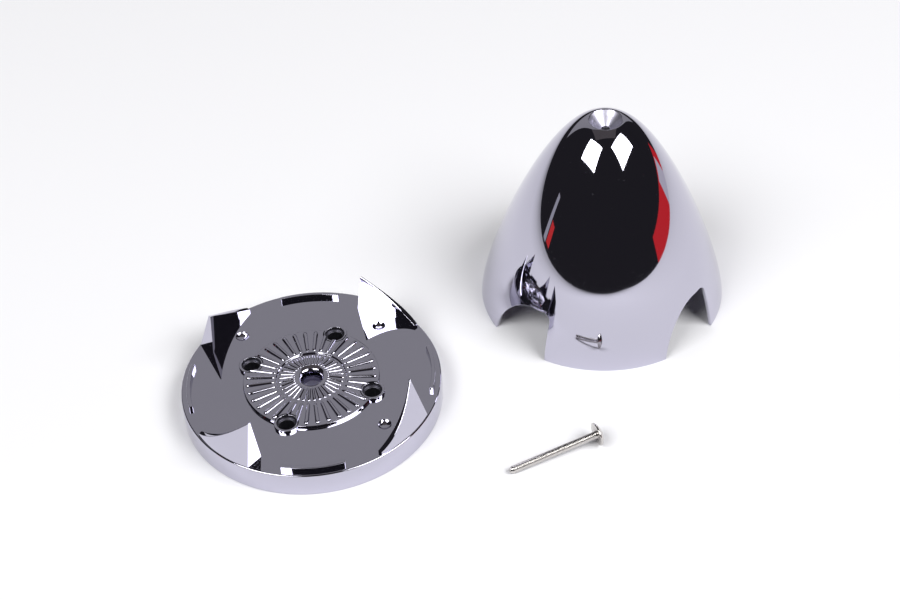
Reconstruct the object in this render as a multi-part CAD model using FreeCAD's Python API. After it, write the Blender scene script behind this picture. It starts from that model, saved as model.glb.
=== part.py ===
"""Spinner of a four-blade model propeller, taken apart and laid out on a flat surface.

Three real pieces: the backplate lies face up, the nose cone stands on its rim beside it, and the
nose screw lies in front of both. The origin is the centre of the backplate's back face, +Z is up
and points out of the backplate's front, and +X runs through the middle of one locating lip.
"""

import FreeCAD, Part
import math
import os

V = FreeCAD.Vector
ORIGIN = V(0, 0, 0)
UP = V(0, 0, 1)
BLADES = 4
QUARTER = 360 / BLADES

# ---- clearances (mm) ----
SEAT_GAP = 0.1           # between the cone's inner wall and the backplate's lips
ARCH_GAP = 0.5           # between a blade fin and the side of the arch that it fills
HEAD_GAP = 0.3           # around the screw's head in the nose recess
SCREW_GAP = 0.15         # around the screw's shank in the nose
OVERCUT = 1.0            # how far a cutting tool runs past the face that it opens

# ---- backplate (mm, degrees) ----
RIM_R = 50.0             # top edge of the side wall
RIM_ROUND = 0.6          # rounded top edge, which ends where the cone's skin begins
BACK_ROUND = 0.5         # rounded bottom edge of the side wall
PLATE_H = 9.8            # back face to front face
SIDE_LEAN = 1.7          # draft of the side wall, wider at the back
FACE_T = 3.0             # thickness of the front face
SIDE_T = 2.2             # thickness of the side wall
HUB_R = 13.0             # boss around the shaft, full depth
SHAFT_R = 4.0            # bore for the propeller shaft
SHAFT_CHAMFER = 0.7
PAD_R = 26.2             # raised round pad under the propeller hub
PAD_H = 1.2
PAD_EDGE = 0.25
PAD_STEP_R = 13.6        # step from the pad's level outer zone down to its sloping inner zone
PAD_STEP = 0.6
PAD_CREST_R = 6.2        # highest ring of the inner zone, near the shaft
PAD_CREST = 0.5          # height of that ring above the level zone
RIBS = 36                # grip ribs that fan out over both zones of the pad
RIB_STEP_GAP = 0.5       # between the ribs' ends and the step
RIB_OUTER_R = 25.3
RIB_INNER_HALF = 0.55
RIB_OUTER_HALF = 1.0
RIB_SINK = 0.3           # how far a rib's axis lies under the pad's top
BOLT_PITCH_R = 25.0
BOLT_START = 67.5        # azimuth of the first bolt hole
BOLT_R = 3.05
BOLT_SEAT_R = 3.8        # shallow counterbore
BOLT_SEAT_DEPTH = 1.8
BOLT_BOSS_R = 5.2
BOLT_RING_R = 4.8        # raised ring round each bolt hole, level with the pad
DIMPLE_PITCH_R = 38.2
DIMPLE_START = 45.0
DIMPLE_R = 2.6
DIMPLE_DEPTH = 1.1
LIP_T = 1.5              # locating lips, which centre the cone's skin
LIP_H = 1.9
LIP_SPAN = 28.8
FIN_SIDE = 62.0          # azimuth of the first fin's tall side
FIN_SPAN = 31.0
FIN_TOP = 17.2           # height of the apex above the front face
FIN_TAIL = 1.3           # height of the low end
FIN_BACK = 0.7           # how far the tall side's foot keeps back from the arch's side
FIN_LEAN = 2.25          # how far the tall side leans in from its foot to the apex
FIN_SAG = 1.5            # how far the crest's middle lies under a straight line
FIN_INSET = 1.7          # how far the apex lies inside the cone's skin line
FIN_MID_INSET = 0.7      # the same in the middle of the crest
FIN_TIP = 1.3            # thickness at the apex
FIN_CREST = 1.5          # thickness in the middle of the crest and at the tail
FIN_ROOT = 6.9           # thickness of the tall side at its foot
FIN_MID_ROOT = 3.8       # thickness of the middle at its foot
FIN_EDGE = 0.25          # rounded crest

# ---- nose cone (mm, degrees) ----
CONE_H = 85.6            # base edge to nose rim
CONE_WALL = 1.4
CONE_BASE_LEAN = 4.65    # the skin's slope from upright at the base
CONE_BASE_REACH = 17.3
NOSE_R = 6.6             # rim of the nose recess
NOSE_LEAN = 16.75        # the skin's slope from level at the nose
NOSE_REACH = 18.1
RECESS_DEPTH = 1.7       # rim to the edge of the conical seat under the screw's head
SEAT_FALL = 2.7          # further fall of the seat, from its edge to the screw hole
NOSE_FLOOR_T = 1.6       # wall left under the seat
ARCH_H = 20.1            # blade arch
ARCH_CROWN = 8.4         # from the upright side to the highest point
ARCH_CORNER = 3.6
ARCH_SIDE_LEAN = 3.0
ARCH_TAIL_LEAN = 7.5
ARCH_TAIL_REACH = 9.5
ARCH_CROWN_REACH = 9.2

# ---- nose screw (mm, degrees) ----
SCREW_R = 1.5
SCREW_L = 36.0           # under the head to the tip
SCREW_TIP = 1.3          # length of the bevelled tip
SCREW_TIP_R = 0.7
HEAD_R = 4.6
HEAD_EDGE = 0.5
HEAD_H = 2.4
SLOT_W = 0.9             # cross slot
SLOT_L = 4.0
SLOT_DEPTH = 1.2

# ---- layout on the surface (mm, degrees) ----
CONE_X = 119.4
CONE_Y = 50.7
CONE_TURN = -7.3         # turn of the cone from the way it sits on the backplate
SCREW_X = 71.7
SCREW_Y = -47.9
SCREW_TURN = 19.3

CONE_BASE_R = RIM_R - RIM_ROUND
BACK_R = RIM_R + PLATE_H * math.tan(math.radians(SIDE_LEAN))
RECESS_FLOOR_R = HEAD_R + HEAD_GAP
NOSE_HOLE_R = SCREW_R + SCREW_GAP


def rz(r, z):
    """A point of a turned section."""
    return V(r, 0, z)


def polar(r, azimuth, z=0.0):
    """A point at a radius and azimuth."""
    a = math.radians(azimuth)
    return V(r * math.cos(a), r * math.sin(a), z)


def turned(edges):
    """The solid that a closed section in the XZ plane sweeps about Z."""
    return Part.Face(Part.Wire(edges)).revolve(ORIGIN, UP, 360)


def chain(points):
    """Straight edges through the points."""
    return [Part.LineSegment(a, b).toShape() for a, b in zip(points, points[1:])]


def repeated(shape, count, start=0.0):
    """Copies of a shape evenly spaced about Z."""
    copies = []
    for i in range(count):
        copy = shape.copy()
        copy.rotate(ORIGIN, UP, start + i * 360 / count)
        copies.append(copy)
    return copies


def ogive():
    """The skin line shared by the cone and the fins: one cubic curve from the base edge to the
    nose rim, with a stated slope and reach at each end."""
    base = math.radians(CONE_BASE_LEAN)
    nose = math.radians(NOSE_LEAN)
    curve = Part.BezierCurve()
    curve.setPoles([
        rz(CONE_BASE_R, 0),
        rz(CONE_BASE_R - CONE_BASE_REACH * math.sin(base), CONE_BASE_REACH * math.cos(base)),
        rz(NOSE_R + NOSE_REACH * math.cos(nose), CONE_H - NOSE_REACH * math.sin(nose)),
        rz(NOSE_R, CONE_H),
    ])
    return curve


def skin_radius(z):
    """The skin line's radius at a height above the base edge."""
    curve = ogive()
    low, high = 0.0, 1.0
    for _ in range(40):
        middle = (low + high) / 2
        if curve.value(middle).z < z:
            low = middle
        else:
            high = middle
    return curve.value(low).x


def inner_skin(stations=10):
    """The skin line moved inwards by the wall."""
    curve = ogive()
    points = []
    for i in range(stations):
        u = i / (stations - 1)
        tangent = curve.tangent(u)[0]
        points.append(curve.value(u) + V(-tangent.z, 0, tangent.x) * CONE_WALL)
    line = Part.BSplineCurve()
    line.interpolate(points)
    return line


def cavity():
    """The cone's hollow, closed under the solid nose."""
    line = inner_skin()
    first = line.value(line.FirstParameter)
    last = line.value(line.LastParameter)
    body = turned([line.toShape()] + chain([last, rz(0, last.z), rz(0, first.z), first]))
    ceiling = CONE_H - RECESS_DEPTH - SEAT_FALL - NOSE_FLOOR_T
    below = Part.makeCylinder(CONE_BASE_R, ceiling + OVERCUT, V(0, 0, -OVERCUT))
    foot = Part.makeCylinder(first.x, OVERCUT, V(0, 0, first.z - OVERCUT))
    return body.fuse(foot).common(below)


def arch_width():
    """Straight width at the base of an arch that clears the fin on both sides."""
    return 2 * CONE_BASE_R * math.sin(math.radians(FIN_SPAN / 2)) + ARCH_GAP


def arch_tool():
    """Cutter of one blade arch, in its upright plane and pushed through the skin along +X.

    The right side is upright and nearly straight, a tight corner leads into the crown, and the
    left side falls away in one long curve to the base."""
    half = arch_width() / 2
    lean = math.tan(math.radians(ARCH_SIDE_LEAN))
    corner_y = half - lean * (ARCH_H - ARCH_CORNER)
    corner_c = V(0, corner_y - ARCH_CORNER, ARCH_H - ARCH_CORNER)
    turn = math.cos(math.pi / 4) * ARCH_CORNER
    side_top = V(0, corner_y, ARCH_H - ARCH_CORNER)
    top = V(0, corner_c.y, ARCH_H)
    crown = V(0, half - ARCH_CROWN, ARCH_H)
    tail = V(0, -half, 0)
    lean_t = math.radians(ARCH_TAIL_LEAN)
    fall = Part.BezierCurve()
    fall.setPoles([
        crown,
        crown - V(0, ARCH_CROWN_REACH, 0),
        tail + V(0, math.sin(lean_t), math.cos(lean_t)) * ARCH_TAIL_REACH,
        tail,
    ])
    bottom_r = V(0, half, -OVERCUT)
    bottom_l = V(0, -half, -OVERCUT)
    corner = Part.Arc(side_top, corner_c + V(0, turn, turn), top)
    edges = chain([tail, bottom_l, bottom_r, V(0, half, 0), side_top])
    edges += [corner.toShape()] + chain([top, crown]) + [fall.toShape()]
    face = Part.Face(Part.Wire(edges))
    face.translate(V(CONE_BASE_R / 2, 0, 0))
    return face.extrude(V(CONE_BASE_R, 0, 0))


def spinner_cone():
    """The moulded nose cone, upright on its base edge, the way it sits on the backplate."""
    seat_z = CONE_H - RECESS_DEPTH
    hole_z = seat_z - SEAT_FALL
    section = chain([rz(NOSE_R, CONE_H), rz(RECESS_FLOOR_R, seat_z), rz(NOSE_HOLE_R, hole_z),
                     rz(0, hole_z), rz(0, 0), rz(CONE_BASE_R, 0)])
    body = turned([ogive().toShape()] + section)
    hole = Part.makeCylinder(NOSE_HOLE_R, CONE_H)
    arches = repeated(arch_tool(), BLADES, FIN_SIDE - FIN_SPAN / 2)
    return body.cut([cavity(), hole] + arches)


def plate_shell():
    """Front face, side wall and shaft boss of the backplate, open at the back."""
    corner = RIM_ROUND * (1 - math.cos(math.pi / 4))
    low = BACK_ROUND * (1 - math.cos(math.pi / 4))
    rim = Part.Arc(rz(RIM_R, PLATE_H - RIM_ROUND), rz(RIM_R - corner, PLATE_H - corner),
                   rz(RIM_R - RIM_ROUND, PLATE_H))
    foot = Part.Arc(rz(BACK_R - BACK_ROUND, 0), rz(BACK_R - low, low), rz(BACK_R, BACK_ROUND))
    section = [foot.toShape()]
    section += chain([rz(BACK_R, BACK_ROUND), rz(RIM_R, PLATE_H - RIM_ROUND)])
    section += [rim.toShape()]
    section += chain([rz(RIM_R - RIM_ROUND, PLATE_H), rz(0, PLATE_H), rz(0, 0),
                      rz(BACK_R - BACK_ROUND, 0)])
    hollow = turned(chain([rz(HUB_R, -OVERCUT), rz(BACK_R - SIDE_T, -OVERCUT),
                           rz(BACK_R - SIDE_T, 0), rz(RIM_R - SIDE_T, PLATE_H - FACE_T),
                           rz(HUB_R, PLATE_H - FACE_T), rz(HUB_R, -OVERCUT)]))
    return turned(section).cut(hollow)


def hub_pad():
    """Raised pad with a narrow bevelled edge, level outside and sloping inside a small step, and
    the rings level with it round the bolt holes."""
    top = PLATE_H + PAD_H
    base = PLATE_H - PAD_H
    shapes = []
    pad = turned(chain([rz(0, base), rz(PAD_R, base), rz(PAD_R, top - PAD_EDGE),
                        rz(PAD_R - PAD_EDGE, top), rz(PAD_STEP_R, top),
                        rz(PAD_STEP_R - PAD_STEP / 2, top - PAD_STEP),
                        rz(PAD_CREST_R, top + PAD_CREST), rz(SHAFT_R + SHAFT_CHAMFER, top),
                        rz(0, top), rz(0, base)]))
    ring = turned(chain([rz(0, base), rz(BOLT_RING_R, base), rz(BOLT_RING_R, top - PAD_EDGE),
                         rz(BOLT_RING_R - PAD_EDGE, top), rz(0, top), rz(0, base)]))
    ring.translate(V(BOLT_PITCH_R, 0, 0))
    shapes.append(pad)
    shapes += repeated(ring, BLADES, BOLT_START)
    return shapes


def rib_length(start, end, first, last):
    """One length of a rib: a slim taper from one point of the pad's section to another, lying
    almost half sunk, as thick at each end as a whole rib is at that radius."""
    axis = end - start
    halves = []
    for share in (first, last):
        halves.append(RIB_INNER_HALF + (RIB_OUTER_HALF - RIB_INNER_HALF) * share)
    return Part.makeCone(halves[0], halves[1], axis.Length, start, axis)


def grip_ribs():
    """Half-round ribs that widen outwards, each in two lengths: one down the pad's sloping inner
    zone and one along its level outer zone."""
    z = PLATE_H + PAD_H - RIB_SINK
    low_r = PAD_STEP_R - PAD_STEP / 2 - RIB_STEP_GAP
    fall = (PAD_CREST + PAD_STEP) / (PAD_STEP_R - PAD_STEP / 2 - PAD_CREST_R)
    low_z = z + PAD_CREST - (low_r - PAD_CREST_R) * fall
    high_r = PAD_STEP_R + RIB_STEP_GAP
    whole = RIB_OUTER_R - PAD_CREST_R
    inner = rib_length(rz(PAD_CREST_R, z + PAD_CREST), rz(low_r, low_z), 0,
                       (low_r - PAD_CREST_R) / whole)
    outer = rib_length(rz(high_r, z), rz(RIB_OUTER_R, z), (high_r - PAD_CREST_R) / whole, 1)
    return repeated(inner, RIBS, 180 / RIBS) + repeated(outer, RIBS, 180 / RIBS)


def bolt_bosses():
    """Bosses behind the bolt holes, down to the back face."""
    boss = Part.makeCylinder(BOLT_BOSS_R, PLATE_H, V(BOLT_PITCH_R, 0, 0))
    return repeated(boss, BLADES, BOLT_START)


def locating_lips():
    """Short arcs just inside the cone's skin."""
    outer = skin_radius(LIP_H) - CONE_WALL - SEAT_GAP
    inner = outer - LIP_T
    low = PLATE_H - LIP_H
    high = PLATE_H + LIP_H
    ring = turned(chain([rz(inner, low), rz(outer, low), rz(outer, high), rz(inner, high),
                         rz(inner, low)]))
    height = PLATE_H + 2 * LIP_H
    wedge = Part.makeCylinder(RIM_R, height, ORIGIN, UP, LIP_SPAN)
    lips = []
    for sector in repeated(wedge, BLADES, -LIP_SPAN / 2):
        lips.append(ring.common(sector))
    return lips


def fin_outline():
    """Foot, apex, middle of the crest and tail of a fin, as (0, y, z) in the upright plane at its
    middle."""
    foot_y = CONE_BASE_R * math.sin(math.radians(FIN_SPAN / 2))
    foot = V(0, foot_y - FIN_BACK, 0)
    apex = V(0, foot.y - FIN_LEAN, FIN_TOP)
    tail = V(0, -foot_y, FIN_TAIL)
    middle = (apex + tail) * 0.5 - V(0, 0, FIN_SAG)
    return foot, apex, middle, tail


def fin_tool():
    """Side view of a fin, pushed outwards along +X: a tall side that leans in, a hollow crest that
    falls to the tail, and a short upright end."""
    foot, apex, middle, tail = fin_outline()
    base = V(0, 0, -FACE_T / 2)
    edges = chain([tail, V(0, tail.y, 0) + base, foot + base, foot, apex])
    edges.append(Part.Arc(apex, middle, tail).toShape())
    return Part.Face(Part.Wire(edges)).extrude(V(RIM_R, 0, 0))


def in_plan(y, r, z):
    """A point at a distance y from the fin's middle plane and a radius from the shaft."""
    return V(math.sqrt(r * r - y * y), y, z)


def fin_room(side_x, tall_foot, tall_top, mid_foot, mid_crest, end):
    """The room on one side of a fin's face, from the face to side_x. The face runs through the
    given radii at the tall side's foot and apex, the middle's foot and crest, and the upright end.
    It is ruled between two arcs in plan, one below the front face and one above the apex."""
    foot, apex, middle, tail = fin_outline()
    past = V(0, OVERCUT, 0)
    lines = []
    for low, low_r, high, high_r in ((foot + past, tall_foot, apex + past, tall_top),
                                     (V(0, middle.y, 0), mid_foot, middle, mid_crest),
                                     (V(0, tail.y, 0) - past, end, tail - past, end)):
        lines.append((in_plan(low.y, low_r, 0), in_plan(high.y, high_r, high.z)))
    plans = []
    for z in (-FACE_T, FIN_TOP + OVERCUT):
        arc = [a + (b - a) * (z / b.z) for a, b in lines]
        sides = chain([arc[2], V(side_x, arc[2].y, z), V(side_x, arc[0].y, z), arc[0]])
        plans.append(Part.Wire([Part.Arc(*arc).toShape()] + sides))
    return Part.makeLoft(plans, True, True)


def blade_fins():
    """Fins that fill the cone's arches behind the blades. The outer face starts on the cone's skin
    line and leans in, and the inner face slants to a thick foot at the tall side."""
    apex_r = skin_radius(FIN_TOP) - FIN_INSET
    middle_r = skin_radius(fin_outline()[2].z) - FIN_MID_INSET
    end_r = skin_radius(FIN_TAIL)
    outside = fin_room(0, CONE_BASE_R, apex_r, CONE_BASE_R, middle_r, end_r)
    inside = fin_room(2 * RIM_R, CONE_BASE_R - FIN_ROOT, apex_r - FIN_TIP,
                      CONE_BASE_R - FIN_MID_ROOT, middle_r - FIN_CREST, end_r - FIN_CREST)
    fin = fin_tool().common(outside).common(inside)
    fin = rounded_crest(fin)
    fin.translate(V(0, 0, PLATE_H))
    return repeated(fin, BLADES, FIN_SIDE - FIN_SPAN / 2)


def rounded_crest(fin):
    """The fin with its two long crest edges rounded."""
    crest = []
    for edge in fin.Edges:
        lowest = min(vertex.Point.z for vertex in edge.Vertexes)
        if lowest > FIN_TAIL / 2 and edge.Length > FIN_TOP:
            crest.append(edge)
    return fin.makeFillet(FIN_EDGE, crest)


def plate_holes():
    """Shaft bore with its bevel, counterbored bolt holes and shallow round dimples."""
    top = PLATE_H + PAD_H
    bore = turned(chain([rz(0, -OVERCUT), rz(SHAFT_R, -OVERCUT), rz(SHAFT_R, top - SHAFT_CHAMFER),
                         rz(SHAFT_R + SHAFT_CHAMFER + OVERCUT, top + OVERCUT),
                         rz(0, top + OVERCUT), rz(0, -OVERCUT)]))
    seat = top - BOLT_SEAT_DEPTH
    bolt = turned(chain([rz(0, -OVERCUT), rz(BOLT_R, -OVERCUT), rz(BOLT_R, seat),
                         rz(BOLT_SEAT_R, seat), rz(BOLT_SEAT_R, top + OVERCUT),
                         rz(0, top + OVERCUT), rz(0, -OVERCUT)]))
    bolt.translate(V(BOLT_PITCH_R, 0, 0))
    ball_r = (DIMPLE_R ** 2 + DIMPLE_DEPTH ** 2) / (2 * DIMPLE_DEPTH)
    dimple = Part.makeSphere(ball_r, V(DIMPLE_PITCH_R, 0, PLATE_H - DIMPLE_DEPTH + ball_r))
    holes = [bore]
    holes += repeated(bolt, BLADES, BOLT_START)
    holes += repeated(dimple, BLADES, DIMPLE_START)
    return holes


def backplate():
    """The moulded backplate, lying on its back face."""
    body = plate_shell().fuse(hub_pad() + bolt_bosses() + locating_lips() + blade_fins())
    body = body.removeSplitter().fuse(grip_ribs())
    return body.cut(plate_holes())


def screw_head():
    """Domed head with a thin flat edge and a cross slot."""
    rise = HEAD_H - HEAD_EDGE
    dome_r = (HEAD_R ** 2 + rise ** 2) / (2 * rise)
    half = math.asin(HEAD_R / dome_r) / 2
    dome = Part.Arc(rz(HEAD_R, HEAD_EDGE),
                    rz(dome_r * math.sin(half), HEAD_H - dome_r + dome_r * math.cos(half)),
                    rz(0, HEAD_H))
    head = turned(chain([rz(0, HEAD_H), rz(0, 0), rz(HEAD_R, 0), rz(HEAD_R, HEAD_EDGE)])
                  + [dome.toShape()])
    slot = Part.makeBox(SLOT_L, SLOT_W, SLOT_DEPTH + OVERCUT,
                        V(-SLOT_L / 2, -SLOT_W / 2, HEAD_H - SLOT_DEPTH))
    return head.cut(repeated(slot, 4))


def cone_screw():
    """The nose screw, upright, with its tip at the origin and its head on top."""
    shank = turned(chain([rz(0, 0), rz(SCREW_TIP_R, 0), rz(SCREW_R, SCREW_TIP), rz(SCREW_R, SCREW_L),
                          rz(0, SCREW_L), rz(0, 0)]))
    head = screw_head()
    head.translate(V(0, 0, SCREW_L))
    return shank.fuse(head)


def laid_cone():
    """The cone where it stands."""
    cone = spinner_cone()
    cone.rotate(ORIGIN, UP, CONE_TURN)
    cone.translate(V(CONE_X, CONE_Y, 0))
    return cone


def laid_screw():
    """The screw as it comes to rest, on its head's edge and on the end of its shank."""
    screw = cone_screw()
    tilt = math.atan2(HEAD_R - SCREW_R, SCREW_L - SCREW_TIP)
    screw.rotate(ORIGIN, V(0, 1, 0), 90 - math.degrees(tilt))
    screw.translate(V(0, 0, SCREW_R * math.cos(tilt) - SCREW_TIP * math.sin(tilt)))
    screw.rotate(ORIGIN, UP, SCREW_TURN)
    screw.translate(V(SCREW_X, SCREW_Y, 0))
    return screw


os.makedirs("parts", exist_ok=True)
for name, solid in (("backplate", backplate()), ("spinner_cone", laid_cone()),
                    ("cone_screw", laid_screw())):
    print(name, "solids", len(solid.Solids), "valid", solid.isValid(),
          "volume", round(solid.Volume, 1))
    solid.Solids[0].exportStep("parts/" + name + ".step")
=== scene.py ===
import bpy
import math
import numpy as np
from mathutils import Matrix


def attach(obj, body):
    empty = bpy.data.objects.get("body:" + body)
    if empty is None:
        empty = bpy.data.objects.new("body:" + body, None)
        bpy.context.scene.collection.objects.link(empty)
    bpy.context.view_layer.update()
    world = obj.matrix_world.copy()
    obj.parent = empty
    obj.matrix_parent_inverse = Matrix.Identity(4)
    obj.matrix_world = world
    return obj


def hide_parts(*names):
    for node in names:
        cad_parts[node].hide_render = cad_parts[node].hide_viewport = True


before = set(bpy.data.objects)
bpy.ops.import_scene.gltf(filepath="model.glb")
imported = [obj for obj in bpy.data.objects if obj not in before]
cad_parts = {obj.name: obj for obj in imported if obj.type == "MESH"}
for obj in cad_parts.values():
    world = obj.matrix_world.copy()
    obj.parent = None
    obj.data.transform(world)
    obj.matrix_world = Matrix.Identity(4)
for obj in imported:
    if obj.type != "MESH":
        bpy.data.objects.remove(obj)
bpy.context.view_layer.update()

MM = 0.001

# ------------------------------------------------------------------------------------------------
# Backplate. One moulded plastic disc with its side wall, grip pad, ribs, lips and blade fins, all
# plated bright after moulding. It lies on its back face, with the propeller side up.
# ------------------------------------------------------------------------------------------------

RIM_R = 50.0
RIM_ROUND = 0.6
PLATE_H = 9.8
SKIN_BASE_R = RIM_R - RIM_ROUND
SKIN_H = 85.6
NOSE_R = 6.6
BLADES = 4


def cubic(t, p0, p1, p2, p3):
    """Points at t, from 0 to 1, of the cubic curve with these four control points."""
    t = np.asarray(t, float)[..., None]
    return (1 - t) ** 3 * p0 + 3 * (1 - t) ** 2 * t * p1 + 3 * (1 - t) * t ** 2 * p2 + t ** 3 * p3


def skin_line(t):
    """Section of the spinner's skin as (radius, height): a cubic curve that leaves the base edge
    4.65 degrees from upright and reaches the nose rim 16.75 degrees from level."""
    base_lean, nose_fall = math.radians(4.65), math.radians(16.75)
    base_handle, nose_handle = 17.3, 18.1
    base = np.array([SKIN_BASE_R, 0.0])
    nose = np.array([NOSE_R, SKIN_H])
    above_base = base + base_handle * np.array([-math.sin(base_lean), math.cos(base_lean)])
    beside_nose = nose + nose_handle * np.array([math.cos(nose_fall), -math.sin(nose_fall)])
    return cubic(t, base, above_base, beside_nose, nose)


skin = skin_line(np.linspace(0, 1, 4001))


def skin_radius(z):
    """Radius of the skin at a height above the base edge."""
    return np.interp(z, skin[:, 1], skin[:, 0])


def grid_faces(rows, columns, wrap=False):
    """Corner numbers of the quads of a grid of points, row after row, as an array."""
    across = columns if wrap else columns - 1
    i, j = np.meshgrid(np.arange(rows - 1), np.arange(across), indexing="ij")
    k = (j + 1) % columns
    return np.stack([i * columns + j, i * columns + k, (i + 1) * columns + k,
                     (i + 1) * columns + j], -1).reshape(-1, 4)


SHARP = math.radians(35)


def new_piece(name, points, faces):
    """A mesh object from points in millimetres and a list of faces. Edges sharper than the given
    angle stay sharp, and the rest are smooth."""
    mesh = bpy.data.meshes.new(name)
    mesh.from_pydata((np.asarray(points, float).reshape(-1, 3) * MM).tolist(), [],
                     [list(map(int, face)) for face in faces])
    mesh.update()
    mesh.set_sharp_from_angle(angle=SHARP)
    piece = bpy.data.objects.new(name, mesh)
    bpy.context.scene.collection.objects.link(piece)
    return piece


def turned(name, section, stations=288, centre=(0.0, 0.0), axis_gap=0.001):
    """A closed section of (radius, height) points carried round the upright axis at the centre.
    The section runs so that the solid lies on its left, seen with the radius to the right. Its
    points on the axis are held a hair off it, so that no faces shrink to nothing."""
    section = np.asarray(section, float)
    a = np.linspace(0, 2 * math.pi, stations, endpoint=False)[:, None]
    r, z = np.maximum(section[:, 0], axis_gap), section[:, 1]
    points = np.stack([r * np.cos(a) + centre[0], r * np.sin(a) + centre[1], z + 0 * a], -1)
    columns = len(section)
    i, j = np.meshgrid(np.arange(stations), np.arange(columns), indexing="ij")
    n, m = (i + 1) % stations, (j + 1) % columns
    faces = np.stack([i * columns + j, n * columns + j, n * columns + m, i * columns + m], -1)
    return new_piece(name, points, faces.reshape(-1, 4))


def arc(centre, radius, start, end, steps):
    """Points of a circle's arc from one angle to another, in degrees."""
    a = np.radians(np.linspace(start, end, steps + 1))
    return [(centre[0] + radius * math.cos(x), centre[1] + radius * math.sin(x)) for x in a]


def worked(piece):
    """The piece with its modifiers worked into its mesh."""
    graph = bpy.context.evaluated_depsgraph_get()
    mesh = bpy.data.meshes.new_from_object(piece.evaluated_get(graph), depsgraph=graph)
    piece.modifiers.clear()
    piece.data = mesh
    return piece


def cut(piece, cutters):
    """Takes the cutters out of the piece and deletes them."""
    for cutter in cutters:
        step = piece.modifiers.new("cut", "BOOLEAN")
        step.operation = "DIFFERENCE"
        step.solver = "EXACT"
        step.object = cutter
        bpy.context.view_layer.update()
        worked(piece)
        bpy.data.objects.remove(cutter)
    piece.data.set_sharp_from_angle(angle=SHARP)
    return piece


def joined(name, pieces):
    """The pieces as one object."""
    bpy.ops.object.select_all(action="DESELECT")
    for piece in pieces:
        piece.select_set(True)
    bpy.context.view_layer.objects.active = pieces[0]
    bpy.ops.object.join()
    pieces[0].name = name
    pieces[0].select_set(False)
    return pieces[0]


def bevelled(piece, width, segments=3):
    """The piece with its sharp edges rounded, its faces kept flat."""
    step = piece.modifiers.new("edge", "BEVEL")
    step.width = width * MM
    step.segments = segments
    step.limit_method = "ANGLE"
    step.angle_limit = SHARP
    step.harden_normals = True
    bpy.context.view_layer.update()
    return worked(piece)


def quarter_turns(start):
    """The four azimuths, in degrees, of a feature that repeats with the blades."""
    return [start + 360 / BLADES * k for k in range(BLADES)]


def at(radius, azimuth):
    """Plan position at a radius and an azimuth in degrees."""
    return radius * math.cos(math.radians(azimuth)), radius * math.sin(math.radians(azimuth))


WALL_LEAN, WALL_T, FOOT_INSET = 1.7, 2.2, 0.02
DISC_T, BOSS_R = 3.0, 13.0
BACK_R = RIM_R + PLATE_H * math.tan(math.radians(WALL_LEAN)) - FOOT_INSET
FACE_Z = PLATE_H - DISC_T
FOOT_ROUND = 0.5
PAD_R, PAD_RISE, PAD_ROUND, PAD_FILLET = 26.2, 1.2, 0.3, 0.12
PAD_Z = PLATE_H + PAD_RISE
STEP_R, STEP, CREST_R, CREST = 13.6, 0.6, 6.2, 0.5
STEP_FOOT_R = STEP_R - STEP / 2
FALL = (CREST + STEP) / (STEP_FOOT_R - CREST_R)
SHAFT_R, BEVEL_ROUND = 4.0, 0.12
BEVEL_R = SHAFT_R + 0.8

# The pad is level outside its step and slopes up from there to a crest round the shaft's bore.
# Close pairs of points keep the shading of a soft edge to the edge itself.
disc_section = [(SHAFT_R, 0), (BOSS_R, 0), (BOSS_R, FACE_Z), (RIM_R - WALL_T, FACE_Z),
                (BACK_R - WALL_T, 0)]
disc_section += arc((BACK_R - FOOT_ROUND, FOOT_ROUND), FOOT_ROUND, -90, 0, 4)
disc_section += arc((RIM_R - RIM_ROUND, PLATE_H - RIM_ROUND), RIM_ROUND, 2, 90, 7)
disc_section += [(SKIN_BASE_R - 0.05, PLATE_H), (PAD_R + 0.15, PLATE_H)]
disc_section += arc((PAD_R + PAD_FILLET, PLATE_H + PAD_FILLET), PAD_FILLET, 270, 180, 3)
disc_section += arc((PAD_R - PAD_ROUND, PAD_Z - PAD_ROUND), PAD_ROUND, 0, 90, 5)
disc_section += [(PAD_R - 0.35, PAD_Z), (STEP_R + 0.1, PAD_Z), (STEP_R + 0.05, PAD_Z),
                 (STEP_R - 0.03, PAD_Z - 0.05), (STEP_FOOT_R + 0.02, PAD_Z - STEP + 0.06),
                 (STEP_FOOT_R - 0.04, PAD_Z - STEP + 0.01)]
disc_section += [(r, PAD_Z + CREST - (r - CREST_R) * FALL)
                 for r in (STEP_R - 0.4, STEP_R - 0.5, CREST_R + 0.3, CREST_R + 0.2)]
disc_section += [(CREST_R + 0.05, PAD_Z + CREST - 0.025), (CREST_R - 0.1, PAD_Z + CREST - 0.05)]
disc_section += [(BEVEL_R + 0.2, PAD_Z + 0.08), (BEVEL_R + 0.1, PAD_Z + 0.045)]
disc_section += arc((BEVEL_R, PAD_Z - BEVEL_ROUND), BEVEL_ROUND, 90, 135, 2)
disc_section += [(SHAFT_R + 0.05, PAD_Z - 0.74), (SHAFT_R, PAD_Z - 0.85)]
disc = turned("disc", disc_section, 360)

BOLTS_R, BOLTS_AZ = 25.0, 67.5
BOLT_R, SEAT_R, SEAT_DEPTH, BUSH_R, BUSH_FOOT_R = 3.05, 3.8, 1.8, 4.8, 5.2
DIMPLES_R, DIMPLES_AZ, DIMPLE_DEPTH, DIMPLE_BALL_R = 38.2, 45.0, 1.1, 3.62


def wells(radius, low, high=14):
    """Four upright rods, one on each bolt's axis, to cut room for what goes there."""
    section = [(0, low), (radius, low), (radius, high), (0, high)]
    return [turned("well", section, 48, at(BOLTS_R, a)) for a in quarter_turns(BOLTS_AZ)]


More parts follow.
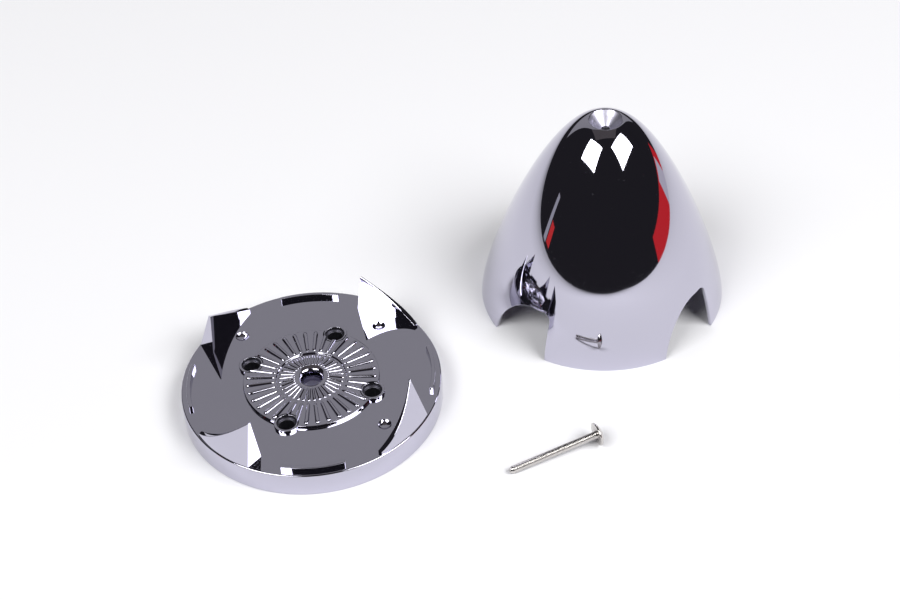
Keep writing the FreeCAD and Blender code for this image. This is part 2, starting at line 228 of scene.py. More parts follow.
ball_section = arc((0, PLATE_H - DIMPLE_DEPTH + DIMPLE_BALL_R), DIMPLE_BALL_R, -90, 90, 72)
dimple_balls = [turned("ball", ball_section, 96, at(DIMPLES_R, a)) for a in quarter_turns(DIMPLES_AZ)]
disc = cut(disc, wells((BUSH_R + SEAT_R) / 2, -1) + dimple_balls)

SEAT_Z = PAD_Z - SEAT_DEPTH
bush_section = [(BOLT_R, 0), (BUSH_FOOT_R, 0), (BUSH_FOOT_R, FACE_Z + 1), (BUSH_R, FACE_Z + 1)]
bush_section += arc((BUSH_R - 0.14, PAD_Z - 0.14), 0.14, 0, 90, 4)
bush_section += arc((SEAT_R + 0.1, PAD_Z - 0.1), 0.1, 90, 180, 4)
bush_section += [(SEAT_R, SEAT_Z + 0.05), (SEAT_R - 0.05, SEAT_Z), (BOLT_R + 0.05, SEAT_Z),
                 (BOLT_R, SEAT_Z - 0.05)]
bushes = [turned("bush", bush_section, 96, at(BOLTS_R, a)) for a in quarter_turns(BOLTS_AZ)]

RIB_GAP, RIB_OUTER_R, RIB_SINK = 0.5, 25.3, 0.3
INNER_RIB_HALVES, OUTER_RIB_HALVES = (0.55, 0.705), (0.74, 1.0)


def ribs(start, end, halves, count=36, steps=14, sides=14, point=0.002):
    """Round-ended tapers that lie partly sunk in the pad and fan out from the shaft, each from one
    (radius, height) to another. Along each, the half width grows evenly between the two given and
    closes in a half circle at both ends, w sqrt(q (2 - q)) at a share q of w from the end."""
    s = 0.5 - 0.5 * np.cos(np.linspace(0, math.pi, steps))
    x = start[0] + (end[0] - start[0]) * s
    width = halves[0] + (halves[1] - halves[0]) * s
    for distance in (x - start[0] + point, end[0] - x + point):
        share = np.minimum(distance, width) / width
        width = width * np.sqrt(share * (2 - share))
    a = np.linspace(0, 2 * math.pi, sides, endpoint=False)
    y = -width[:, None] * np.cos(a)
    z = (start[1] + (end[1] - start[1]) * s - RIB_SINK)[:, None] + width[:, None] * np.sin(a)
    turn = np.radians(np.arange(count) * 360 / count + 180 / count)[:, None, None]
    x = x[:, None] + 0 * a
    points = np.stack([x * np.cos(turn) - y * np.sin(turn), x * np.sin(turn) + y * np.cos(turn),
                       z + 0 * turn], -1)
    one = grid_faces(steps, sides, wrap=True)
    faces = []
    for k in range(count):
        first = k * steps * sides
        last = first + (steps - 1) * sides
        faces += (one + first).tolist()
        faces.append([first + j for j in range(sides)][::-1])
        faces.append([last + j for j in range(sides)])
    return new_piece("ribs", points, faces)


rib_fan = cut(ribs((STEP_R + RIB_GAP, PAD_Z), (RIB_OUTER_R, PAD_Z), OUTER_RIB_HALVES),
              wells(SEAT_R + 0.1, 5))
inner_end_r = STEP_FOOT_R - RIB_GAP
inner_end_z = PAD_Z + CREST - (inner_end_r - CREST_R) * FALL
inner_ribs = ribs((CREST_R, PAD_Z + CREST), (inner_end_r, inner_end_z), INNER_RIB_HALVES)


def lip(azimuth, inner=46.24, outer=47.74, half=14.4, rise=1.9, sink=1.0, edge=0.22, columns=40):
    """A short arc of rectangular section, sunk a little into the plate."""
    a = np.radians(azimuth + np.linspace(-half, half, columns))[:, None]
    r = np.array([inner, outer, outer, inner])[None]
    z = PLATE_H + np.array([-sink, -sink, rise, rise])[None] + 0 * a
    points = np.stack([r * np.cos(a), r * np.sin(a), z], -1)
    faces = grid_faces(columns, 4, wrap=True)[:, ::-1].tolist()
    faces += [[0, 1, 2, 3], [columns * 4 - 1 - k for k in range(4)]]
    return bevelled(new_piece("lip", points, faces), edge)


lips = [lip(a) for a in quarter_turns(0)]

FIN_AZ, FIN_SPAN = 62.0, 31.0
FIN_TOP, FIN_TAIL = 17.2, 1.3
FIN_BACK, FIN_LEAN, FIN_SAG = 0.7, 2.25, 1.5
FIN_INSET, FIN_MID_INSET = 1.7, 0.7
FIN_ROOT, FIN_MID_ROOT = 6.9, 3.8
FIN_TIP, FIN_CREST = 1.3, 1.5
FIN_EDGE, FIN_SINK = 0.22, 1.5


def circle_through(p):
    """Centre and radius of the circle through three points in plan, and the side of the centre
    that they lie on along X, as 1 or -1."""
    size = (p ** 2).sum(1)
    centre = np.linalg.solve(2 * (p[1:] - p[0]), size[1:] - size[0])
    return centre, float(np.linalg.norm(p[0] - centre)), math.copysign(1, p[1, 0] - centre[0])


def rising(z, height, start, end):
    """Place in plan, at a height z, of a straight line from a start on the front face to an end
    at the given height, both as (place across, distance from the axis)."""
    p0, p1 = (np.array([math.sqrt(r ** 2 - y ** 2), y]) for y, r in (start, end))
    return p0 + (p1 - p0) * z / height


def fin(azimuth, columns=57, rows=25, spare=1.0, low=-3.0):
    """A blade fin. Its crest falls from the apex to the tail in a hollow curve, a straight line
    less 4 s (1 - s) times its sag. Each long face runs straight from an arc in plan below the
    front face to one above the apex, so the outer face leans in and the tall side has a thick
    foot. Each of these arcs goes through three rising lines, at the tall side, middle and tail."""
    tail = -SKIN_BASE_R * math.sin(math.radians(FIN_SPAN / 2))
    foot = -tail - FIN_BACK
    apex = foot - FIN_LEAN
    middle = (apex + tail) / 2
    middle_h = (FIN_TOP + FIN_TAIL) / 2 - FIN_SAG
    high = FIN_TOP + spare
    s = np.linspace(0, 1, columns)[:, None]
    crest_y = apex + (tail - apex) * s
    crest_z = FIN_TOP + (FIN_TAIL - FIN_TOP) * s - 4 * FIN_SAG * s * (1 - s)

    def tall_y(z):
        return foot + spare + (apex - foot) * z / FIN_TOP

    def face(tall_low, tall_high, mid_low, mid_high, end):
        """The place along X of a long face, as a function of the place across and the height."""
        def x_at(y, z):
            centre, radius, way = circle_through(np.stack([
                rising(z, FIN_TOP, (foot + spare, tall_low), (apex + spare, tall_high)),
                rising(z, middle_h, (middle, mid_low), (middle, mid_high)),
                rising(z, 1, (tail - spare, end), (tail - spare, end))]))
            return centre[0] + way * np.sqrt(radius ** 2 - (y - centre[1]) ** 2)

        def at_place(y, z):
            share = np.clip((y - middle) / (tall_y(z) - middle), 0, 1)
            y_low, y_high = (np.where(y > middle, middle + share * (tall_y(level) - middle), y)
                             for level in (low, high))
            x_low, x_high = x_at(y_low, low), x_at(y_high, high)
            return x_low + (x_high - x_low) * (z - low) / (high - low)
        return at_place

    apex_r = float(skin_radius(FIN_TOP)) - FIN_INSET
    middle_r = float(skin_radius(middle_h)) - FIN_MID_INSET
    end_r = float(skin_radius(FIN_TAIL))
    outside = face(SKIN_BASE_R, apex_r, SKIN_BASE_R, middle_r, end_r)
    inside = face(SKIN_BASE_R - FIN_ROOT, apex_r - FIN_TIP, SKIN_BASE_R - FIN_MID_ROOT,
                  middle_r - FIN_CREST, end_r - FIN_CREST)
    thickness = outside(crest_y, crest_z) - inside(crest_y, crest_z)
    edge = np.minimum(FIN_EDGE, 0.4 * thickness)

    def sheet(t, side):
        """A long face, from the front face at t = 0 to the crest less its edge at t = 1."""
        y = (foot + (tail - foot) * s) * (1 - t) + crest_y * t
        z = (crest_z - edge) * t
        return np.stack([side(y, z), y, z], -1)

    outer = sheet(np.linspace(0, 1, rows)[None], outside)
    inner = sheet(np.linspace(1, 0, rows)[None], inside)
    sunk_out, sunk_in = outer[:, :1].copy(), inner[:, -1:].copy()
    sunk_out[..., 2] = sunk_in[..., 2] = -FIN_SINK
    turn = np.radians(np.linspace(0, 90, 6))[None, 1:]
    inwards, up = edge * (1 - np.cos(turn)), edge * np.sin(turn)
    over = outer[:, -1:] + np.stack([-inwards, 0 * up, up], -1)
    back = inner[:, :1] + np.stack([inwards, 0 * up, up], -1)[:, ::-1]
    points = np.concatenate([sunk_out, outer, over, back, inner, sunk_in], 1)
    x, y, z = np.moveaxis(points, -1, 0)
    turn = math.radians(azimuth - FIN_SPAN / 2)
    points = np.stack([x * math.cos(turn) - y * math.sin(turn), x * math.sin(turn) + y * math.cos(turn),
                       z + PLATE_H], -1)
    across = points.shape[1]
    faces = grid_faces(columns, across, wrap=True)[:, ::-1].tolist()
    faces.append(list(range(across))[::-1])
    faces.append([(columns - 1) * across + k for k in range(across)])
    return new_piece("fin", points, faces)


fins = [fin(a) for a in quarter_turns(FIN_AZ)]
backplate = joined("backplate_look", [disc] + bushes + [rib_fan, inner_ribs] + lips + fins)


class Value:
    """A node's output that takes part in sums written the usual way. Each sum adds a Math node."""

    def __init__(self, finish, socket):
        self.finish = finish
        self.socket = socket

    def math(self, operation, *others):
        sockets = {f"n{k}": value for k, value in enumerate((self,) + others)}
        return self.finish.out("ShaderNodeMath", 0, {"operation": operation}, **sockets)

    def __add__(self, other):
        return self.math("ADD", other)

    def __sub__(self, other):
        return self.math("SUBTRACT", other)

    def __mul__(self, other):
        return self.math("MULTIPLY", other)

    __radd__ = __add__
    __rmul__ = __mul__

    def __rsub__(self, other):
        return self * -1.0 + other


class Finish:
    """A material built from nodes, with fixed values for its shader's sockets to begin with."""

    def __init__(self, name, **constants):
        self.material = bpy.data.materials.new(name)
        self.material.use_nodes = True
        self.tree = self.material.node_tree
        self.shader = self.tree.nodes["Principled BSDF"]
        for socket, value in constants.items():
            self.shader.inputs[socket.replace("_", " ")].default_value = value

    def node(self, kind, settings=None, **inputs):
        """A node of a kind, with its settings made first and then its sockets' values or links.
        A socket may be named in words with underscores or by number as n0, n1."""
        node = self.tree.nodes.new(kind)
        for key, value in (settings or {}).items():
            setattr(node, key, value)
        for key, value in inputs.items():
            name = int(key[1:]) if key[1:].isdigit() else key.replace("_", " ")
            if isinstance(value, Value):
                self.tree.links.new(value.socket, node.inputs[name])
            else:
                node.inputs[name].default_value = value
        return node

    def out(self, kind, output, settings=None, **inputs):
        """One output of a new node, ready for sums."""
        return Value(self, self.node(kind, settings, **inputs).outputs[output])

    def feed(self, socket, value):
        """Links a value to one of the shader's sockets."""
        self.tree.links.new(value.socket, self.shader.inputs[socket])


# The plating colour is partly the plating's own grey and partly a painted reflection: its lavender tint
# stands in for the colour of a lavender floor seen in the mirror.
PLATING_AND_FLOOR_TINT, WAVINESS = (0.54, 0.528, 0.62), 0.02


def plating(name, hazy_shaded_spots, shade, mirror=0.03, dusty=0.25, hazy=0.4):
    """Bright plating over moulded plastic: a mirror with a faint large waviness from the moulding
    and a scatter of fine dust. In the hazy spots, upright cylinders given as their middle in plan,
    radius, lowest and highest height, the mirror is hazy, and its colour is multiplied by the
    shade, a painted shade for the dark inside of a recess."""
    colour = (*PLATING_AND_FLOOR_TINT, 1)
    finish = Finish(name, Metallic=1.0, Base_Color=colour, Roughness=mirror)
    place = finish.out("ShaderNodeTexCoord", "Object")
    waves = finish.out("ShaderNodeTexNoise", 0, Vector=place, Scale=45.0, Detail=1.0)
    bump = finish.out("ShaderNodeBump", "Normal", Height=waves, Strength=WAVINESS, Distance=MM)
    finish.feed("Normal", bump)
    dust = finish.out("ShaderNodeTexNoise", 0, Vector=place, Scale=1400.0, Detail=2.0)
    haze = finish.out("ShaderNodeMapRange", 0, Value=dust, From_Min=0.72, From_Max=0.8,
                      To_Min=mirror, To_Max=dusty)
    axis = [finish.out("ShaderNodeSeparateXYZ", k, Vector=place) for k in range(3)]
    hazy_shaded = 0.0
    for x, y, radius, low, high in hazy_shaded_spots:
        across, along = axis[0] - x * MM, axis[1] - y * MM
        away = (across * across + along * along).math("SQRT")
        hazy_shaded = (away.math("LESS_THAN", radius * MM) * axis[2].math("GREATER_THAN", low * MM)
                * axis[2].math("LESS_THAN", high * MM)) + hazy_shaded
    finish.feed("Roughness", haze + hazy_shaded * (hazy - mirror))
    # Painted shade: in the hazy spots the plating colour is multiplied by the shade.
    painted_shade_tone = finish.out("ShaderNodeMixRGB", 0, Fac=hazy_shaded, Color1=colour,
                      Color2=(*(shade * part for part in PLATING_AND_FLOOR_TINT), 1))
    finish.feed("Base Color", painted_shade_tone)
    return finish.material


# The bolt recesses get a hazy mirror and a painted shade: their plating colour is multiplied by 0.3.
bolt_hazy_shaded_spots = [(*at(BOLTS_R, a), SEAT_R + 0.1, -1, PAD_Z - 0.15) for a in quarter_turns(BOLTS_AZ)]
plate_plating = plating("backplate plating", bolt_hazy_shaded_spots, 0.3)
backplate.data.materials.clear()
backplate.data.materials.append(plate_plating)
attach(backplate, "root")
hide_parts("backplate")

# ------------------------------------------------------------------------------------------------
# Nose cone. A thin moulded shell with four blade arches and a recess for the screw in its nose,
# plated bright outside and in. It stands on its base edge beside the backplate.
# ------------------------------------------------------------------------------------------------

CONE_X, CONE_Y = 119.4, 50.7
CONE_WALL = 1.4
CONE_TURN = -7.3
ARCH_H, ARCH_CORNER, ARCH_GAP = 20.1, 3.6, 0.25
CONE_EDGE = 0.18
arch_half = SKIN_BASE_R * math.sin(math.radians(FIN_SPAN / 2)) + ARCH_GAP
arch_middle = FIN_AZ - FIN_SPAN / 2 + CONE_TURN


def unit(vectors):
    """The vectors of an array, each at length one."""
    return vectors / np.linalg.norm(vectors, axis=-1, keepdims=True)


def arch_sides(steps=44, fine=400):
    """Heights and the two half widths of a blade arch, moved outwards by the rounded edge: on one
    side nearly upright with a round corner, on the other a long cubic fall from crown to base."""
    side_lean, fall_lean = math.tan(math.radians(3.0)), math.radians(7.5)
    crown_reach, crown_handle, base_handle = 8.4, 9.2, 9.5
    corner_x = arch_half - side_lean * (ARCH_H - ARCH_CORNER) - ARCH_CORNER
    corner_z = ARCH_H - ARCH_CORNER
    radius = ARCH_CORNER + CONE_EDGE
    high = ARCH_H + CONE_EDGE
    crown = np.array([arch_half - crown_reach, ARCH_H])
    tail = np.array([-arch_half, 0.0])
    over = crown - np.array([crown_handle, 0.0])
    near = tail + base_handle * np.array([math.sin(fall_lean), math.cos(fall_lean)])
    fall = cubic(np.linspace(0, 1, fine), crown, over, near, tail)
    slope = unit(np.gradient(fall, axis=0))
    fall += CONE_EDGE * np.stack([slope[:, 1], -slope[:, 0]], -1)
    turn = np.radians(np.linspace(0, 90, 200))
    corner = np.stack([corner_x + radius * np.cos(turn), corner_z + radius * np.sin(turn)], -1)
    right = np.concatenate([[[arch_half + CONE_EDGE, 0.0]], corner])
    z_fall = np.interp(np.linspace(0, 1, steps), np.linspace(0, 1, fine), fall[::-1, 1])
    z_turn = corner_z + radius * np.sin(np.radians(np.linspace(0, 90, 16)))
    z = np.unique(np.round(np.concatenate([z_fall, z_turn, [CONE_EDGE]]), 4))
    z = z[(z >= CONE_EDGE) & (z <= high)]
    z[-1] = high
    keep = np.concatenate([[True], np.diff(z) > 0.02])
    keep[-1] = True
    z = z[keep]
    left_side = np.interp(z, fall[::-1, 1], fall[::-1, 0])
    right_side = np.interp(z, right[:, 1], right[:, 0])
    left_side[-1], right_side[-1] = crown[0], corner_x
    return z, left_side, right_side


skin_slope = unit(np.gradient(skin, axis=0))
inner_wall = skin + CONE_WALL * np.stack([-skin_slope[:, 1], skin_slope[:, 0]], -1)


def inside_radius(z):
    """Radius of the inner wall at a height: the skin moved inwards by the wall's thickness."""
    return np.interp(z, inner_wall[:, 1], inner_wall[:, 0])


def skin_normals(points):
    """Outward normals of the skin at points on it: its section's slope turned a quarter."""
    x, y, z = points.T
    outwards = np.interp(z, skin[:, 1], skin_slope[:, 1])
    upwards = -np.interp(z, skin[:, 1], skin_slope[:, 0])
    azimuth = np.arctan2(y, x)
    return np.stack([outwards * np.cos(azimuth), outwards * np.sin(azimuth), upwards], -1)


RECESS_R, RECESS_DEPTH, SEAT_FALL, NOSE_FLOOR_T, NOSE_HOLE_R = 4.9, 1.7, 2.7, 1.6, 1.65


def nose_section(start, upper, inner_rows, edge=0.25):
    """Rows of (radius, height) above the arches: evenly up the skin from a starting height, over
    a rim rounded by a quadratic curve, down the recess and its conical seat, through the screw's
    hole, along the inside of the nose and down the inner wall."""
    walk = np.concatenate([[0], np.cumsum(np.linalg.norm(np.diff(skin, axis=0), axis=1))])
    along = np.linspace(np.interp(start, skin[:, 1], walk), walk[-1] - edge, upper)
    outer = np.stack([np.interp(along, walk, skin[:, k]) for k in range(2)], -1)
    floor_z = SKIN_H - RECESS_DEPTH
    seat_z = floor_z - SEAT_FALL
    ceiling = seat_z - NOSE_FLOOR_T
    tip = np.array([NOSE_R, SKIN_H])
    after = tip + unit(np.array([RECESS_R - NOSE_R, -RECESS_DEPTH])) * edge
    bend = np.linspace(0, 1, 6)[1:-1, None]
    rim = (1 - bend) ** 2 * outer[-1] + 2 * (1 - bend) * bend * tip + bend ** 2 * after
    recess = [tuple(after), (RECESS_R + 0.08, floor_z + 0.08), (RECESS_R + 0.03, floor_z + 0.02),
              (RECESS_R - 0.03, floor_z - 0.03), (RECESS_R - 0.1, floor_z - 0.083),
              (NOSE_HOLE_R + 0.17, seat_z + 0.141), (NOSE_HOLE_R + 0.1, seat_z + 0.083),
              (NOSE_HOLE_R + 0.02, seat_z - 0.01), (NOSE_HOLE_R, seat_z - 0.15),
              (NOSE_HOLE_R, ceiling), (NOSE_HOLE_R + 0.05, ceiling),
              (float(inside_radius(ceiling)) - 0.3, ceiling)]
    down = np.linspace(ceiling - edge, start, inner_rows)
    inner = np.stack([inside_radius(down), down], -1)
    return np.concatenate([outer, rim, np.array(recess), inner])


def rounded_edge(outer, inner, steps=10):
    """Rows of points that join an outer loop to an inner one over a rounded edge, which stands
    out from the two by half of the oval x^6 + y^6 = 1."""
    tangent = unit(unit(np.roll(outer, -1, 0) - outer) + unit(outer - np.roll(outer, 1, 0)))
    across = outer - inner
    out = unit(np.cross(tangent, across))
    turn = np.linspace(0, math.pi, steps + 2)[1:-1, None, None]
    x = np.sign(np.cos(turn)) * np.abs(np.cos(turn)) ** (1 / 3)
    y = np.abs(np.sin(turn)) ** (1 / 3)
    return (outer + inner) / 2 + across / 2 * x + out * CONE_EDGE * y


def quads(lower, higher):
    """Quads between two like tables of corner numbers, from each number to the next in its row."""
    corners = [lower[..., :-1], lower[..., 1:], higher[..., 1:], higher[..., :-1]]
    return np.stack(corners, -1).reshape(-1, 4)


def nose_cone(leg=84, crown=6, upper=90, inner_rows=60):
    """The whole shell as one closed surface. Rows of points at even heights cover the four legs,
    from the upright side of one arch to the falling side of the next. Above the arches the rows go
    all the way round, over the nose, down its recess and hole, and back down inside. Along the
    base edge and the arches a rounded strip joins outside and inside."""
    z, fall, side = arch_sides()
    low = len(z) - 1
    per = leg + crown
    middles = np.radians(quarter_turns(arch_middle))

    def legs(radius):
        """Azimuths over a leg, row by row, at the radius that a function gives for a height."""
        r = radius(z)[:, None]
        start = np.arcsin(side[:, None] / r)
        end = math.pi / 2 + np.arcsin(fall[:, None] / r)
        return start + (end - start) * np.linspace(0, 1, leg + 1)

    def ring(radius, top):
        """Azimuths all the way round at the arches' crowns: each leg's top row, then its crown."""
        crown_x = np.linspace(fall[-1], side[-1], crown + 1)[1:-1]
        one = np.concatenate([top, math.pi / 2 + np.arcsin(crown_x / float(radius(z[-1])))])
        return np.concatenate([one + middle for middle in middles])

    def leg_points(azimuths, radius):
        a = azimuths[:-1] + middles[:, None, None]
        r = radius(z[:-1])[:, None]
        return np.stack([r * np.cos(a), r * np.sin(a), z[:-1, None] + 0 * a], -1).reshape(-1, 3)

    out_leg, in_leg = legs(skin_radius), legs(inside_radius)
    section = nose_section(z[-1], upper, inner_rows)
    rows = len(section)
    blend = np.clip((np.arange(rows) - upper) / (rows - inner_rows - upper), 0, 1)[:, None]
    a = ring(skin_radius, out_leg[-1]) * (1 - blend) + ring(inside_radius, in_leg[-1]) * blend
    around = a.shape[1]
    r, h = section[:, :1], section[:, 1:]
    body = np.stack([r * np.cos(a), r * np.sin(a), h + 0 * a], -1).reshape(-1, 3)
    points = np.concatenate([body, leg_points(out_leg, skin_radius), leg_points(in_leg, inside_radius)])

    cells = BLADES * low * (leg + 1)
    last = (rows - 1) * around
    out_at, in_at = len(body) + np.arange(2 * cells).reshape(2, BLADES, low, leg + 1)
    top_at = (np.arange(BLADES)[:, None] * per + np.arange(leg + 1)) % around
    out_at = np.concatenate([out_at, top_at[:, None]], 1)
    in_at = np.concatenate([in_at, last + top_at[:, None]], 1)

    def arch_loop(table, base):
        """Corner numbers down one side of each leg, along its base, up its other side and over
        the crown of the next arch."""
        loop = []
        for k in range(BLADES):
            loop += [table[k, ::-1, 0], table[k, 0, 1:], table[k, 1:, -1],
                     base + (k * per + leg + 1 + np.arange(crown - 1)) % around]
        return np.concatenate(loop)

    loop_out, loop_in = arch_loop(out_at, 0), arch_loop(in_at, last)
    strip = rounded_edge(points[loop_out], points[loop_in])
    strip_at = len(points) + np.arange(strip.shape[0] * strip.shape[1]).reshape(strip.shape[:2])
    points = np.concatenate([points, strip.reshape(-1, 3)])
    table = np.concatenate([loop_out[None], strip_at, loop_in[None]])
    beside = np.roll(table, -1, 1)
    faces = np.concatenate([
        grid_faces(rows, around, wrap=True), quads(out_at[:, :-1], out_at[:, 1:]),
        quads(in_at[:, :-1], in_at[:, 1:])[:, [0, 3, 2, 1]],
        np.stack([table[:-1], table[1:], beside[1:], beside[:-1]], -1).reshape(-1, 4)])

    piece = new_piece("cone_look", points + np.array([CONE_X, CONE_Y, 0]), faces)
    mesh = piece.data
    mesh.shade_smooth()
    normals = np.empty(len(points) * 3)
    mesh.vertex_normals.foreach_get("vector", normals)
    normals = normals.reshape(-1, 3)
    on_skin = np.zeros(len(points), bool)
    on_skin[:(upper - 1) * around] = True
    on_skin[out_at[:, :-1].reshape(-1)] = True
    normals[on_skin] = skin_normals(points[on_skin])
    mesh.set_sharp_from_angle(angle=math.radians(50))
    mesh.normals_split_custom_set_from_vertices(normals.tolist())
    return piece


cone = nose_cone()
nose_depth = (CONE_X, CONE_Y, NOSE_R - 0.2, SKIN_H - 7, SKIN_H + 1)
cone.data.materials.append(plating("cone plating", [nose_depth], 1.0))
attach(cone, "root")
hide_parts("spinner_cone")

# ------------------------------------------------------------------------------------------------
# Nose screw. A long turned steel screw with a rolled 3 mm thread and a domed, cross-slotted head.
# It lies on the edge of its head and on the end of its shank.
# ------------------------------------------------------------------------------------------------

SCREW_R, SCREW_L = 1.5, 36.0
POINT_R, POINT_L = 0.7, 1.3
HEAD_R, HEAD_H, HEAD_EDGE = 4.6, 2.4, 0.5
SLOT_L, SLOT_W, SLOT_DEPTH = 4.0, 0.9, 1.2
SCREW_X, SCREW_Y, SCREW_TURN = 71.7, -47.9, 19.3


def threaded_shank(pitch=0.5, depth=0.2, per_turn=10, sides=40, sunk=0.2):
    """A rod whose radius dips with the height and the azimuth together, as a triangle wave of
    z / pitch - azimuth / full turn, which makes a screw thread. The dip fades out at the bevelled
    tip and under the head."""
    tip_clear, tip_fade, neck_clear, neck_fade = 0.9, 1.0, 0.3, 0.6
    z = np.linspace(0, SCREW_L + sunk, int(SCREW_L / pitch * per_turn))[:, None]
    a = np.linspace(0, 2 * math.pi, sides, endpoint=False)[None]
    phase = z / pitch - a / (2 * math.pi)
    wave = np.abs(((phase % 1) * 2) - 1)
    fade = np.clip((z - tip_clear) / tip_fade, 0, 1)
    fade = fade * np.clip((SCREW_L - neck_clear - z) / neck_fade, 0, 1)
    limit = np.minimum(SCREW_R, POINT_R + (SCREW_R - POINT_R) * z / POINT_L)
    r = limit - depth * wave * fade
    points = np.stack([r * np.cos(a), r * np.sin(a), z + 0 * a], -1)
    faces = grid_faces(len(z), sides, wrap=True).tolist()
    faces.append(list(range(sides))[::-1])
    faces.append([(len(z) - 1) * sides + k for k in range(sides)])
    piece = new_piece("shank", points, faces)
    piece.data.set_sharp_from_angle(angle=math.radians(70))
    return piece


def screw_head():
    """A domed head on a thin flat edge, with a cross cut into the dome. The dome is part of a ball
    of radius (R^2 + h^2) / 2 h, where R is the head's radius and h the dome's rise."""
    top = SCREW_L + HEAD_H
    rise = HEAD_H - HEAD_EDGE
    ball = (HEAD_R ** 2 + rise ** 2) / (2 * rise)
    reach = math.degrees(math.asin(HEAD_R / ball))
    section = [(0, SCREW_L), (HEAD_R - 0.3, SCREW_L), (HEAD_R - 0.1, SCREW_L + 0.06),
               (HEAD_R, SCREW_L + 0.2), (HEAD_R, SCREW_L + 0.42)]
    section += arc((0, top - ball), ball, 90 - reach + 1.5, 90, 24)
    head = turned("head", section, 96)
    bars = []
    for along, across in ((SLOT_L, SLOT_W), (SLOT_W, SLOT_L)):
        x, y = along / 2, across / 2
        points = [(i, j, level) for level in (top - SLOT_DEPTH, top + 1)
                  for i, j in ((-x, -y), (x, -y), (x, y), (-x, y))]
        faces = [(3, 2, 1, 0), (4, 5, 6, 7), (0, 1, 5, 4), (1, 2, 6, 5), (2, 3, 7, 6), (3, 0, 4, 7)]
        bars.append(new_piece("bar", points, faces))
    return bevelled(cut(head, bars), 0.08, 2)


def laid_down(piece):
    """Turns the upright screw down, tip first, to rest on its head's edge and its shank's end."""
    mesh = piece.data
    points = np.empty(len(mesh.vertices) * 3)
    mesh.vertices.foreach_get("co", points)
    x, y, z = points.reshape(-1, 3).T
    tilt = math.atan2(HEAD_R - SCREW_R, SCREW_L - POINT_L)
    along, up = z * math.cos(tilt) + x * math.sin(tilt), z * math.sin(tilt) - x * math.cos(tilt)
    up += (SCREW_R * math.cos(tilt) - POINT_L * math.sin(tilt)) * MM
    turn = math.radians(SCREW_TURN)
    moved = np.stack([along * math.cos(turn) - y * math.sin(turn) + SCREW_X * MM,
                      along * math.sin(turn) + y * math.cos(turn) + SCREW_Y * MM, up], -1)
    mesh.vertices.foreach_set("co", moved.reshape(-1))
    mesh.update()
    return piece


screw = laid_down(joined("screw_look", [screw_head(), threaded_shank()]))
steel = Finish("screw steel", Metallic=1.0, Base_Color=(0.62, 0.60, 0.58, 1), Roughness=0.16)
screw.data.materials.clear()
screw.data.materials.append(steel.material)
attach(screw, "root")
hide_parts("cone_screw")

# ------------------------------------------------------------------------------------------------
# Studio. A pale table about two metres wide in a dim room, with painted shade towards its left and
# right ends, a grey wall behind it, a darker ceiling, a chest and some small things round it that
# glow red and pale though they are no lamps, as painted reflections in the plating, two rectangular
# soft lamps to the front left and right, and the camera above and in front.
# ------------------------------------------------------------------------------------------------


def panel(name, low, high, material):
    """A flat rectangular stage piece between two opposite corners in metres, which share one of
    their three coordinates."""
    first, second = (k for k in range(3) if low[k] != high[k])
    corners = [list(low), list(low), list(high), list(low)]
    corners[1][first] = high[first]
    corners[3][second] = high[second]
    mesh = bpy.data.meshes.new(name)
    mesh.from_pydata(corners, [], [[0, 1, 2, 3]])
    mesh.materials.append(material)
    piece = bpy.data.objects.new(name, mesh)
    bpy.context.scene.collection.objects.link(piece)


def glow(name, colour, strength, base=0.02, roughness=0.9):
    """A plain surface that gives off a little light of one colour."""
    return Finish(name, Base_Color=(base, base, base, 1), Roughness=roughness,
                  Emission_Color=(*colour, 1), Emission_Strength=strength).material


table_top = Finish("table top", Roughness=0.9)
table_x = table_top.out("ShaderNodeSeparateXYZ", 0,
                        Vector=table_top.out("ShaderNodeTexCoord", "Object"))
# Painted shade: the table's colour falls to 0.55 of its pale tone at the left end and to 0.75 at the
# right end, standing in for light falling off there.
left_painted_shade = table_top.out("ShaderNodeMapRange", 0, Value=table_x, From_Min=-0.9, From_Max=-0.25,
                          To_Min=0.55, To_Max=1.0)
right_painted_shade = table_top.out("ShaderNodeMapRange", 0, Value=table_x, From_Min=0.3, From_Max=0.85,
                           To_Min=1.0, To_Max=0.75)
table_top.feed("Base Color", table_top.out("ShaderNodeMixRGB", 0, Fac=left_painted_shade * right_painted_shade,
                                           Color1=(0, 0, 0, 1), Color2=(0.90, 0.90, 0.92, 1)))
panel("table", (-1.3, -3.0, 0), (0.85, 1.3, 0), table_top.material)
panel("wall", (-1.6, 1.8, 0.35), (1.6, 1.8, 5.2), glow("back wall", (0.98, 0.97, 1.0), 0.31, 0.05, 0.95))
panel("ceiling", (-1.8, -1.0, 4.2), (1.8, 1.75, 4.2), glow("ceiling", (0.95, 0.86, 0.84), 0.10))
# Painted reflections: the chest, its label, the box and the paper glow though they are no lamps, so that
# they show in the plating.
panel("chest", (1.5, -0.95, -0.15), (1.5, 0.85, 0.12), glow("glowing red chest", (0.9, 0.02, 0.03), 0.8))
panel("glowing chest label", (1.48, 0.12, -0.08), (1.48, 0.55, 0.1), glow("glowing chest label", (0.85, 0.82, 0.9), 0.7))
panel("box", (-2.0, -0.62, 0.02), (-2.0, -0.40, 0.2), glow("glowing red box", (0.9, 0.03, 0.03), 0.8))
panel("glowing paper", (-2.0, -0.36, 0.0), (-2.0, -0.2, 0.42), glow("glowing paper", (0.8, 0.8, 0.88), 0.5))

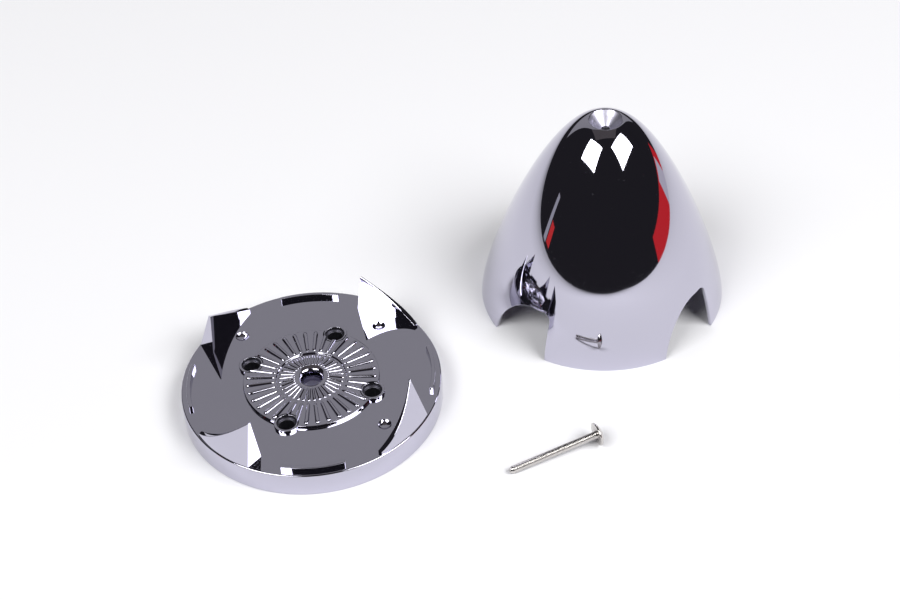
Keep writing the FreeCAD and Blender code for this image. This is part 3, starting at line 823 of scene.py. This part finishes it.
world = bpy.data.worlds.new("room")
bpy.context.scene.world = world
world.use_nodes = True
room_light = world.node_tree.nodes["Background"].inputs
room_light["Color"].default_value = (0.02, 0.019, 0.022, 1)
room_light["Strength"].default_value = 1.0


def placed(thing, place, axes):
    """An object for a lamp or a camera at a place, with its own three axes as columns."""
    obj = bpy.data.objects.new(thing.name, thing)
    bpy.context.scene.collection.objects.link(obj)
    obj.matrix_world = Matrix.Translation(place) @ Matrix(axes.tolist()).to_4x4()
    return obj


def soft_lamp(name, direction, width, height, watts, distance=2.6, middle=(0.06, 0.02, 0.05)):
    """A rectangular lamp in a direction from the middle of the scene, facing back to it."""
    lamp = bpy.data.lights.new(name, "AREA")
    lamp.shape = "RECTANGLE"
    lamp.size = width
    lamp.size_y = height
    lamp.energy = watts
    away = unit(np.array(direction))
    side = unit(np.cross([0, 0, 1], away))
    place = np.array(middle) + away * distance
    placed(lamp, place.tolist(), np.stack([side, np.cross(away, side), away], 1))


soft_lamp("lamp left", (-0.519, -0.420, 0.745), 1.63, 1.25, 45.0)
soft_lamp("lamp right", (0.575, -0.356, 0.736), 1.98, 1.37, 60.5)


def camera_axes(pitch, roll, turn):
    """The camera's right, up and back axes as columns, from its pitch down, its roll and its turn
    in plan, in degrees."""
    p, r, t = map(math.radians, (pitch, roll, turn))
    spin = np.array([[math.cos(t), -math.sin(t), 0], [math.sin(t), math.cos(t), 0], [0, 0, 1]])
    right = np.array([1.0, 0, 0])
    up = np.array([0, math.sin(p), math.cos(p)])
    back = np.array([0, -math.cos(p), math.sin(p)])
    rolled_right = math.cos(r) * right + math.sin(r) * up
    rolled_up = -math.sin(r) * right + math.cos(r) * up
    return spin @ np.stack([rolled_right, rolled_up, back], 1)


lens = bpy.data.cameras.new("camera")
lens.lens = 70.0
lens.sensor_width = 36.0
lens.shift_x = -0.03927
lens.shift_y = 0.00221
lens.clip_start = 0.01
camera_place = (0.03772, -0.48095, 0.48504)
bpy.context.scene.camera = placed(lens, camera_place, camera_axes(42.5305, -1.98464, -3.6))
bpy.context.scene.view_settings.view_transform = "Standard"
